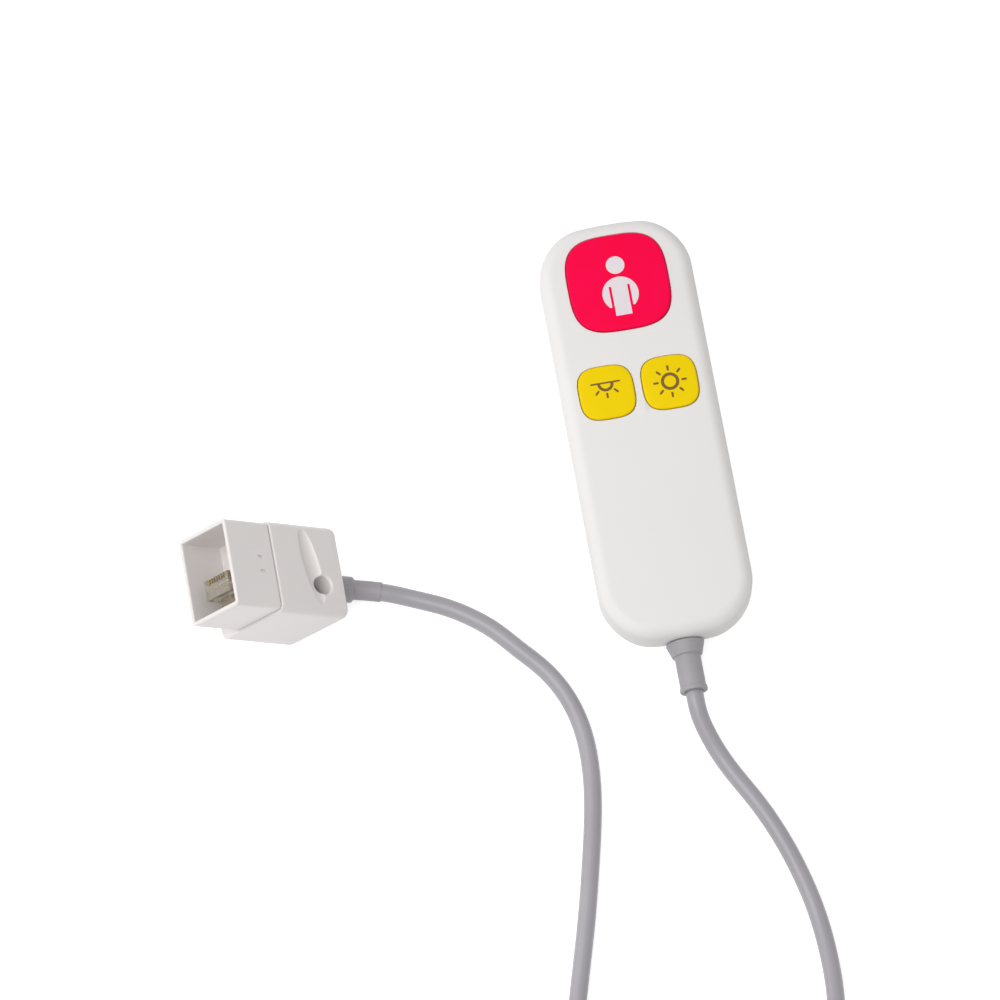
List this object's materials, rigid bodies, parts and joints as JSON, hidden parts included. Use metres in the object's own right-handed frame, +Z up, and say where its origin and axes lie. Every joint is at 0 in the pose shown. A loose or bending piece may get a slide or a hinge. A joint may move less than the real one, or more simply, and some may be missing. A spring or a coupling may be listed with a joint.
{
  "type": "nurse call unit",
  "caption": "Bedside nurse call handset with a large red call key and yellow light keys, joined by a grey lead to a square wall plug with an open hood.",
  "frame": {"origin": "Centre of the handset's footprint, on the surface that it lies on.", "axes": "+Z up, out of the face with the keys. +Y along the handset towards the call key, away from the cord. +X to the right of someone who looks at the keys with the call key at the top."},
  "size_m": [0.1921, 0.3744, 0.0554],
  "materials": {
    "white_housing": "fine satin moulded plastic, slightly warm white",
    "inner_white": "plain moulded plastic",
    "plug_white": "smooth moulded plastic, slightly glossy",
    "call_red": "satin crimson key cap with a printed pictogram",
    "key_yellow": "satin yellow key cap with a printed pictogram",
    "relief_grey": "soft grey moulding",
    "cord_grey": "smooth grey cord sheath",
    "tie_black": "woven strap",
    "clear_plastic": "clear moulded plastic, slightly smoky",
    "contact_gold": "gold-plated blades",
    "screw_steel": "plain zinc-plated steel",
    "board": "green circuit board",
    "terminal": "green terminal block",
    "switch_black": "black switch housing"
  },
  "bodies": {
    "handset": {"front_shell": "white_housing", "rear_shell": "white_housing", "circuit_board": "board", "terminal_block": "terminal", "handset_strain_relief": "relief_grey", "cord_clamp": "inner_white", "call_switch": "switch_black", "reading_light_switch": "switch_black", "room_light_switch": "switch_black", "case_screw_1": "screw_steel", "case_screw_2": "screw_steel", "case_screw_3": "screw_steel", "case_screw_4": "screw_steel", "plug_body": "plug_white", "plug_hood": "plug_white", "contact_carrier": "clear_plastic", "plug_screw": "screw_steel", "contact_1": "contact_gold", "contact_2": "contact_gold", "contact_3": "contact_gold", "contact_4": "contact_gold", "contact_5": "contact_gold", "contact_6": "contact_gold", "contact_7": "contact_gold", "contact_8": "contact_gold", "plug_strain_relief": "relief_grey", "plug_side_cord": "cord_grey", "handset_side_cord": "cord_grey", "cord_coil": "cord_grey", "coil_tie_1": "tie_black", "coil_tie_2": "tie_black"},
    "call_key": {"call_button": "call_red"},
    "reading_light_key": {"reading_light_button": "key_yellow"},
    "room_light_key": {"room_light_button": "key_yellow"}
  },
  "joints": [
    {"name": "call_press", "type": "slide", "parent": "handset", "child": "call_key", "axis": [0, 0, -1], "range_m": [0, 0.0008], "stiffness_N_per_m": 800, "springref_m": -0.001},
    {"name": "reading_light_press", "type": "slide", "parent": "handset", "child": "reading_light_key", "axis": [0, 0, -1], "range_m": [0, 0.0008], "stiffness_N_per_m": 600, "springref_m": -0.001},
    {"name": "room_light_press", "type": "slide", "parent": "handset", "child": "room_light_key", "axis": [0, 0, -1], "range_m": [0, 0.0008], "stiffness_N_per_m": 600, "springref_m": -0.001}
  ]
}
